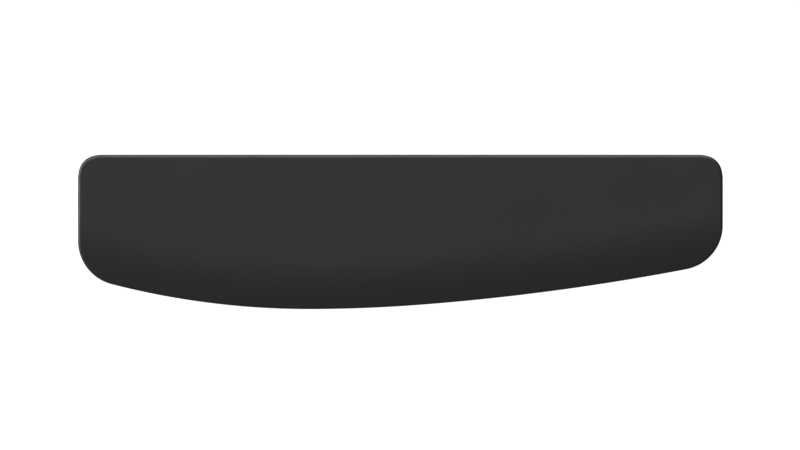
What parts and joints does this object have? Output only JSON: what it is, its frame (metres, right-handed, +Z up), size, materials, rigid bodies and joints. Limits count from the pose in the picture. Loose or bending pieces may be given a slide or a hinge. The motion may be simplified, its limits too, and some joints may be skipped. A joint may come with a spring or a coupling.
{
  "type": "wrist rest",
  "caption": "Long padded keyboard wrist rest with a straight back edge, a bowed front edge that slopes down, and anti-slip feet.",
  "frame": {"origin": "on the desk, under the middle of the rest's length and depth", "axes": "+X along the length to the user's right, +Y away from the user towards the keyboard, +Z up"},
  "size_m": [0.392, 0.094, 0.018],
  "materials": {
    "leatherette": "matt charcoal-black leatherette with a very fine grain",
    "comfort_foam": "soft open-cell foam, off-white",
    "support_foam": "firm closed-cell foam, dark grey",
    "tape": "double-sided adhesive sheet, off-white",
    "board": "stiff plastic sheet, mid grey",
    "base_plastic": "moulded black plastic with a fine spark texture",
    "foot_silicone": "soft black silicone, satin"
  },
  "bodies": {
    "root": {"cover": "leatherette", "comfort_foam": "comfort_foam", "support_foam": "support_foam", "core_tape": "tape", "stiffener_board": "board", "hem_tape": "tape", "base_plate": "base_plastic", "foot_back_left": "foot_silicone", "foot_back_middle": "foot_silicone", "foot_back_right": "foot_silicone", "foot_front_left": "foot_silicone", "foot_front_middle": "foot_silicone", "foot_front_right": "foot_silicone", "foot_tape_back_left": "tape", "foot_tape_back_middle": "tape", "foot_tape_back_right": "tape", "foot_tape_front_left": "tape", "foot_tape_front_middle": "tape", "foot_tape_front_right": "tape"}
  },
  "joints": []
}
